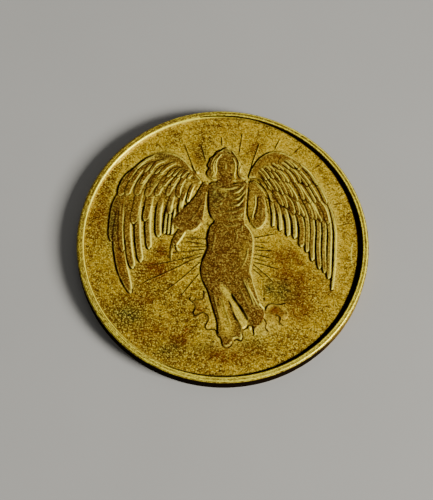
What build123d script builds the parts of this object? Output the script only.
"""A struck brass token: one round blank, rimmed on both faces, with a winged figure in low relief.

Millimetres. The origin is the centre of the reverse rim's resting plane, +Z is up through the obverse,
and +Y points to the top of the figure. The obverse relief stays below the rim, so that tokens stack.
"""

import os
from math import cos, hypot, radians, sin

from build123d import *

# ---- driving dimensions of the blank ----
DIAMETER = 28.0
THICKNESS = 1.75  # over both rims
RIM_WIDTH = 0.6  # flat land on top of each rim
RIM_HEIGHT = 0.35  # from the field up to the land
WALL_RUN = 0.25  # how far the hollow inner wall of the rim spreads onto the field
EDGE_BREAK = 0.2  # rounded corner between the land and the edge

RADIUS = DIAMETER / 2
LAND_RADIUS = RADIUS - RIM_WIDTH
FIELD_RADIUS = LAND_RADIUS - WALL_RUN
OBVERSE_FIELD = THICKNESS - RIM_HEIGHT
REVERSE_FIELD = RIM_HEIGHT

# ---- relief heights above the obverse field ----
ROOT_DEPTH = 0.2  # how far each raised shape reaches down into the blank
CLOUD_HEIGHT = 0.05
RAY_HEIGHT = 0.04
WING_HEIGHT = 0.06
QUILL_HEIGHT = 0.09
COVERT_HEIGHT = 0.11
SHOULDER_HEIGHT = 0.13
HAND_HEIGHT = 0.09
GOWN_HEIGHT = 0.15
SLEEVE_HEIGHT = 0.16
HAIR_HEIGHT = 0.17
NECK_HEIGHT = 0.18
FACE_HEIGHT = 0.2
RAY_WIDTH = 0.1
FOLD_DEPTH = 0.05  # how far the folds are pressed into the gown
FOLD_WIDTH = 0.14
UNDERSKIRT_DEPTH = 0.06

# ---- rays: angle from +X in degrees, with the radii where each one starts and ends ----
RAYS = [
    (3, 11.4, 12.6), (14, 11.2, 12.6), (25, 11.4, 12.5), (36, 11.4, 12.4), (47, 11.3, 12.4),
    (57, 11.4, 12.5), (67, 11.2, 12.2), (76, 7.8, 11.2), (84, 9.3, 11.7), (94.5, 10.3, 11.6),
    (105, 8.6, 10.9), (113, 7.6, 11.2), (125, 11.3, 12.2), (173, 2.2, 4.2), (187, 2.2, 4.3),
    (197, 2.3, 6.6), (208, 2.6, 8.6), (217, 2.8, 9.8), (228, 3.0, 9.0), (240, 3.9, 7.4),
    (318, 4.2, 6.2), (327, 3.9, 7.0), (338, 3.5, 8.0), (349, 3.4, 7.0), (357, 3.3, 6.6),
]

# ---- outlines of the figure ----
GOWN = [
    (-1.75, 6.1), (-0.8, 6.45), (0.0, 6.15), (0.9, 6.35), (2.0, 6.6), (2.0, 4.0), (2.2, 2.2),
    (2.85, 1.2), (3.05, -0.6), (3.0, -2.3), (3.4, -4.0), (4.0, -5.7), (4.4, -7.1), (4.05, -8.0),
    (3.55, -8.9), (3.1, -8.0), (2.45, -8.6), (2.2, -9.5), (1.3, -9.75), (0.3, -9.3), (-0.1, -8.4),
    (-0.85, -6.2), (-1.75, -3.8), (-1.95, -2.6), (-1.5, -0.7), (-1.5, 0.8), (-0.95, 2.15),
    (-1.6, 3.8), (-1.8, 5.0),
]
LEFT_SLEEVE = [
    (-1.7, 6.3), (-2.4, 6.0), (-2.95, 4.9), (-3.45, 4.0), (-4.1, 2.95), (-4.8, 1.75), (-4.5, 1.25),
    (-3.3, 0.98), (-2.55, 1.35), (-2.0, 2.5), (-1.75, 3.6), (-1.85, 5.2),
]
RIGHT_SLEEVE = [
    (2.15, 6.4), (2.1, 4.6), (2.2, 3.1), (2.85, 1.9), (3.6, 2.0), (4.05, 2.9), (3.85, 4.4),
    (3.3, 5.9), (2.7, 6.6),
]
HAIR = [
    (-2.0, 6.95), (-2.12, 7.35), (-1.95, 7.75), (-2.1, 8.1), (-1.86, 8.85), (-1.35, 9.55),
    (-0.7, 10.0), (-0.25, 10.12), (0.4, 9.75), (0.75, 9.1), (1.12, 8.6), (1.15, 8.1), (1.3, 7.7),
    (1.28, 7.3), (1.75, 6.85), (0.95, 6.5), (0.2, 6.6), (-0.8, 6.6), (-1.4, 6.5),
]
HAND = [
    (-4.2, 1.4), (-4.6, 0.7), (-4.9, -0.1), (-4.98, -0.9), (-4.88, -2.2), (-4.7, -1.2), (-4.5, -0.6),
    (-4.1, 0.0), (-3.65, 0.95),
]
CLOUDS = [
    (-1.45, -5.0), (-1.55, -5.85), (-2.6, -5.75), (-2.25, -6.5), (-2.3, -7.4), (-1.3, -7.15),
    (-0.8, -7.9), (-1.0, -8.7), (-0.1, -9.0), (0.55, -9.7), (0.9, -10.35), (1.5, -9.9),
    (2.4, -9.6), (3.6, -9.0), (4.5, -8.0), (5.0, -7.0), (5.3, -6.1), (4.6, -6.1), (4.2, -5.0),
]
CLOUD_BANK = [
    (4.42, -6.6), (4.45, -6.15), (4.7, -5.85), (5.1, -5.66), (5.6, -5.72), (6.2, -5.9),
    (6.7, -6.5), (6.4, -7.2), (5.7, -7.6), (5.0, -7.5), (4.6, -7.1),
]
FEET = [
    (0.05, -9.1), (0.3, -9.5), (0.6, -10.15), (0.95, -10.38), (1.3, -10.15), (1.55, -9.7),
    (1.2, -9.3), (0.6, -9.1),
]
NECK = [(-0.8, 7.3), (-0.85, 6.6), (-0.95, 6.3), (-0.25, 5.95), (0.45, 6.3), (0.3, 6.6), (0.28, 7.3)]
FACE_CENTRE = (-0.27, 8.0)
FACE_RADII = (0.75, 1.0)
UNDERSKIRT = [
    (0.0, -4.2), (1.1, -5.0), (1.95, -6.15), (2.85, -7.6), (2.5, -8.3), (1.75, -7.6), (1.0, -5.9),
    (0.3, -5.0),
]

# ---- folds pressed into the gown and sleeves, each through three points ----
FOLDS = [
    ((1.2, -4.9), (2.1, -6.2), (3.0, -7.7)),
    ((1.0, -5.9), (1.4, -6.9), (2.05, -7.9)),
    ((2.5, -3.9), (3.1, -5.2), (3.9, -6.7)),
    ((1.8, 6.1), (1.0, 5.2), (-0.1, 4.9)),
    ((1.8, 5.2), (1.1, 4.2), (0.1, 3.9)),
    ((1.7, 3.6), (0.6, 2.7), (-0.8, 2.6)),
    ((2.85, 5.2), (2.95, 4.1), (2.75, 3.0)),
]

# ---- wings: the flat plate under the shorter feathers ----
LEFT_PLATE = [
    (-2.5, 6.2), (-3.3, 7.3), (-4.4, 8.5), (-6.2, 9.2), (-8.0, 8.45), (-9.7, 6.5), (-10.6, 4.1),
    (-9.0, 3.0), (-7.5, 3.1), (-5.0, 3.4), (-3.3, 5.0),
]
RIGHT_PLATE = [
    (2.0, 7.1), (2.6, 8.7), (4.4, 10.1), (6.3, 9.5), (8.1, 7.85), (9.8, 5.35), (10.6, 3.1),
    (8.0, 3.0), (6.2, 3.2), (4.5, 3.4), (3.4, 6.0),
]

# ---- feathers: two guide curves for each wing, from the leading edge to the tips ----
LEFT_OUTER = [(-6.2, 8.9), (-8.9, 7.3), (-10.5, 4.5), (-11.0, 1.0), (-10.3, -2.2), (-8.4, -5.6)]
LEFT_INNER = [(-3.2, 6.9), (-3.7, 6.0), (-4.3, 4.5), (-4.7, 3.0), (-4.9, 1.6), (-5.0, 0.5)]
RIGHT_OUTER = [(4.3, 9.9), (7.4, 8.7), (9.6, 5.8), (10.75, 2.0), (11.0, -1.2), (10.5, -4.1)]
RIGHT_INNER = [(2.5, 7.2), (3.5, 6.3), (4.1, 5.1), (4.4, 3.9), (4.5, 2.9), (4.5, 2.2)]
# Each row: feathers, where it starts and ends along the guides (outer side, inner side), its height.
LEFT_ROWS = [
    (9, (0.55, 0.98), (0.5, 0.94), QUILL_HEIGHT),
    (9, (0.34, 0.68), (0.32, 0.64), COVERT_HEIGHT),
    (9, (0.12, 0.42), (0.08, 0.42), SHOULDER_HEIGHT),
]
RIGHT_ROWS = [
    (10, (0.5, 0.98), (0.4, 0.96), QUILL_HEIGHT),
    (10, (0.26, 0.6), (0.2, 0.5), COVERT_HEIGHT),
    (9, (0.08, 0.34), (0.06, 0.3), SHOULDER_HEIGHT),
]
FEATHER_GAP = 0.1  # bare plate left between two neighbours

OBVERSE_PLANE = Plane.XY.offset(OBVERSE_FIELD - ROOT_DEPTH)


def raise_shape(drawn, height):
    """Extrudes a sketch drawn on OBVERSE_PLANE until it stands this far above the field."""
    extrude(drawn.sketch, amount=ROOT_DEPTH + height)


def closed_outline(points, height):
    """A raised shape whose outline is one smooth closed curve through the points."""
    with BuildSketch(OBVERSE_PLANE) as drawn:
        with BuildLine():
            Spline(*points, periodic=True)
        make_face()
    raise_shape(drawn, height)


def feather_row(outer, inner, row):
    """One row of leaf-shaped feathers, spread evenly between the two guide curves."""
    count, outer_span, inner_span, height = row
    with BuildSketch(OBVERSE_PLANE) as drawn:
        for index in range(count):
            share = (index + 0.5) / count
            spans = [a + (b - a) * share for a, b in zip(outer_span, inner_span)]
            start, middle, end = (
                outer.position_at(t) * (1 - share) + inner.position_at(t) * share
                for t in (spans[0], sum(spans) / 2, spans[1])
            )
            across = (outer.position_at(sum(spans) / 2) - inner.position_at(sum(spans) / 2)) / count
            along = (end - start).normalized()
            side = Vector(-along.Y, along.X)
            half = max(abs(across.dot(side)) - FEATHER_GAP, FEATHER_GAP) / 2
            with BuildLine():
                ThreePointArc(start, middle + side * half, end)
                ThreePointArc(end, middle - side * half, start)
            make_face()
    raise_shape(drawn, height)


def wing(plate, outer_points, inner_points, rows):
    """The wing's flat plate, with its rows of feathers lying over one another from the tips up."""
    closed_outline(plate, WING_HEIGHT)
    outer = Edge.make_spline([Vector(*p) for p in outer_points])
    inner = Edge.make_spline([Vector(*p) for p in inner_points])
    for row in rows:
        feather_row(outer, inner, row)


with BuildPart() as token:
    # the blank: one turned profile, the same on both faces
    with BuildSketch(Plane.XZ):
        with BuildLine():
            Polyline((0, REVERSE_FIELD), (0, OBVERSE_FIELD), (FIELD_RADIUS, OBVERSE_FIELD))
            RadiusArc((FIELD_RADIUS, OBVERSE_FIELD), (LAND_RADIUS, THICKNESS), -hypot(WALL_RUN, RIM_HEIGHT))
            Line((LAND_RADIUS, THICKNESS), (RADIUS - EDGE_BREAK, THICKNESS))
            RadiusArc((RADIUS - EDGE_BREAK, THICKNESS), (RADIUS, THICKNESS - EDGE_BREAK), EDGE_BREAK)
            Line((RADIUS, THICKNESS - EDGE_BREAK), (RADIUS, EDGE_BREAK))
            RadiusArc((RADIUS, EDGE_BREAK), (RADIUS - EDGE_BREAK, 0), EDGE_BREAK)
            Line((RADIUS - EDGE_BREAK, 0), (LAND_RADIUS, 0))
            RadiusArc((LAND_RADIUS, 0), (FIELD_RADIUS, REVERSE_FIELD), -hypot(WALL_RUN, RIM_HEIGHT))
            Line((FIELD_RADIUS, REVERSE_FIELD), (0, REVERSE_FIELD))
        make_face()
    revolve(axis=Axis.Z)

    # the rays, fine raised lines on the obverse field
    with BuildSketch(OBVERSE_PLANE) as rays:
        for angle, start, end in RAYS:
            middle = (start + end) / 2
            with Locations((middle * cos(radians(angle)), middle * sin(radians(angle)))):
                Rectangle(end - start, RAY_WIDTH, rotation=angle)
    raise_shape(rays, RAY_HEIGHT)

    # the relief, from the lowest shape to the highest
    closed_outline(CLOUDS, CLOUD_HEIGHT)
    closed_outline(CLOUD_BANK, CLOUD_HEIGHT)
    wing(LEFT_PLATE, LEFT_OUTER, LEFT_INNER, LEFT_ROWS)
    wing(RIGHT_PLATE, RIGHT_OUTER, RIGHT_INNER, RIGHT_ROWS)
    closed_outline(HAND, HAND_HEIGHT)
    closed_outline(FEET, HAND_HEIGHT)
    closed_outline(GOWN, GOWN_HEIGHT)
    closed_outline(LEFT_SLEEVE, SLEEVE_HEIGHT)
    closed_outline(RIGHT_SLEEVE, SLEEVE_HEIGHT)
    closed_outline(HAIR, HAIR_HEIGHT)
    closed_outline(NECK, NECK_HEIGHT)
    with BuildSketch(OBVERSE_PLANE) as face:
        with Locations(FACE_CENTRE):
            Ellipse(*FACE_RADII)
    raise_shape(face, FACE_HEIGHT)

    # the underskirt between the folds, and the folds themselves, pressed into the gown
    with BuildSketch(Plane.XY.offset(OBVERSE_FIELD + GOWN_HEIGHT - UNDERSKIRT_DEPTH)):
        with BuildLine():
            Spline(*UNDERSKIRT, periodic=True)
        make_face()
    extrude(amount=UNDERSKIRT_DEPTH, mode=Mode.SUBTRACT)
    with BuildSketch(Plane.XY.offset(OBVERSE_FIELD + GOWN_HEIGHT - FOLD_DEPTH)):
        for fold in FOLDS:
            with BuildLine():
                ThreePointArc(*fold)
            trace(line_width=FOLD_WIDTH)
    extrude(amount=RIM_HEIGHT, mode=Mode.SUBTRACT)

token.part.label = "token"
os.makedirs("parts", exist_ok=True)
export_step(token.part, "parts/token.step")
